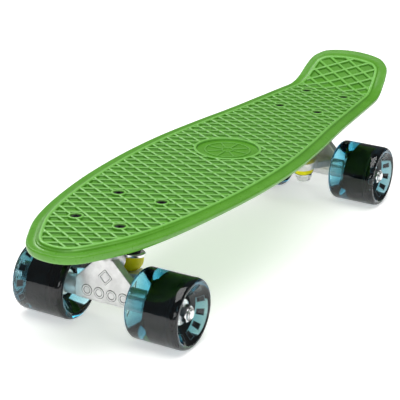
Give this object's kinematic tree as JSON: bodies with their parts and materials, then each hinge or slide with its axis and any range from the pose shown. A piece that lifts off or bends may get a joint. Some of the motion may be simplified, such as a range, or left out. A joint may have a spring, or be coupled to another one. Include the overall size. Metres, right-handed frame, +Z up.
{
  "type": "skateboard",
  "caption": "Small moulded-plastic cruiser skateboard with a raised-bead deck, kicktail, kingpin trucks and clear urethane wheels.",
  "frame": {"origin": "on the ground under the middle of the board", "axes": "+X towards the nose, +Y to the board's left, +Z up"},
  "size_m": [0.574, 0.156, 0.1294],
  "materials": {
    "deck_plastic": "semi-gloss moulded plastic",
    "wheel_urethane": "clear tinted cast urethane",
    "wheel_core": "black moulded core",
    "bushing_yellow": "soft urethane",
    "truck_aluminium": "polished cast aluminium",
    "baseplate_black": "black coated casting",
    "pivot_cup_black": "hard rubber",
    "bright_steel": "bright zinc and chrome plate",
    "black_bolt": "black oxide"
  },
  "bodies": {
    "deck_body": {"deck": "deck_plastic", "front_baseplate": "baseplate_black", "front_pivot_cup": "pivot_cup_black", "front_kingpin": "bright_steel", "front_kingpin_nut": "bright_steel", "front_bushing_upper": "bushing_yellow", "front_bushing_lower": "bushing_yellow", "front_washer_upper": "bright_steel", "front_washer_lower": "bright_steel", "front_deck_bolt_1": "black_bolt", "front_deck_nut_1": "bright_steel", "front_deck_bolt_2": "black_bolt", "front_deck_nut_2": "bright_steel", "front_deck_bolt_3": "black_bolt", "front_deck_nut_3": "bright_steel", "front_deck_bolt_4": "black_bolt", "front_deck_nut_4": "bright_steel", "rear_baseplate": "baseplate_black", "rear_pivot_cup": "pivot_cup_black", "rear_kingpin": "bright_steel", "rear_kingpin_nut": "bright_steel", "rear_bushing_upper": "bushing_yellow", "rear_bushing_lower": "bushing_yellow", "rear_washer_upper": "bright_steel", "rear_washer_lower": "bright_steel", "rear_deck_bolt_1": "black_bolt", "rear_deck_nut_1": "bright_steel", "rear_deck_bolt_2": "black_bolt", "rear_deck_nut_2": "bright_steel", "rear_deck_bolt_3": "black_bolt", "rear_deck_nut_3": "bright_steel", "rear_deck_bolt_4": "black_bolt", "rear_deck_nut_4": "bright_steel"},
    "front_hanger_body": {"front_hanger": "truck_aluminium", "front_axle": "bright_steel", "front_left_axle_nut": "bright_steel", "front_right_axle_nut": "bright_steel"},
    "front_left_wheel": {"front_left_wheel_tyre": "wheel_urethane", "front_left_wheel_core": "wheel_core", "front_left_wheel_bearing_inner": "bright_steel", "front_left_wheel_bearing_outer": "bright_steel"},
    "front_right_wheel": {"front_right_wheel_tyre": "wheel_urethane", "front_right_wheel_core": "wheel_core", "front_right_wheel_bearing_inner": "bright_steel", "front_right_wheel_bearing_outer": "bright_steel"},
    "rear_hanger_body": {"rear_hanger": "truck_aluminium", "rear_axle": "bright_steel", "rear_left_axle_nut": "bright_steel", "rear_right_axle_nut": "bright_steel"},
    "rear_left_wheel": {"rear_left_wheel_tyre": "wheel_urethane", "rear_left_wheel_core": "wheel_core", "rear_left_wheel_bearing_inner": "bright_steel", "rear_left_wheel_bearing_outer": "bright_steel"},
    "rear_right_wheel": {"rear_right_wheel_tyre": "wheel_urethane", "rear_right_wheel_core": "wheel_core", "rear_right_wheel_bearing_inner": "bright_steel", "rear_right_wheel_bearing_outer": "bright_steel"}
  },
  "joints": [
    {"name": "front_steer", "type": "hinge", "parent": "deck_body", "child": "front_hanger_body", "pos_m": [0.206, 0, 0.074], "axis": [0.712, 0, 0.7021], "range_deg": [-12, 12], "stiffness_Nm_per_rad": 30, "deforming": ["front_bushing_upper", "front_bushing_lower"]},
    {"name": "rear_steer", "type": "hinge", "parent": "deck_body", "child": "rear_hanger_body", "pos_m": [-0.206, 0, 0.074], "axis": [-0.712, 0, 0.7021], "range_deg": [-12, 12], "stiffness_Nm_per_rad": 30, "deforming": ["rear_bushing_upper", "rear_bushing_lower"]},
    {"name": "front_left_wheel_spin", "type": "hinge", "parent": "front_hanger_body", "child": "front_left_wheel", "pos_m": [0.1945, 0.05375, 0.03], "axis": [0, 1, 0], "continuous": true},
    {"name": "front_right_wheel_spin", "type": "hinge", "parent": "front_hanger_body", "child": "front_right_wheel", "pos_m": [0.1945, -0.05375, 0.03], "axis": [0, 1, 0], "continuous": true},
    {"name": "rear_left_wheel_spin", "type": "hinge", "parent": "rear_hanger_body", "child": "rear_left_wheel", "pos_m": [-0.1945, 0.05375, 0.03], "axis": [0, 1, 0], "continuous": true},
    {"name": "rear_right_wheel_spin", "type": "hinge", "parent": "rear_hanger_body", "child": "rear_right_wheel", "pos_m": [-0.1945, -0.05375, 0.03], "axis": [0, 1, 0], "continuous": true}
  ]
}
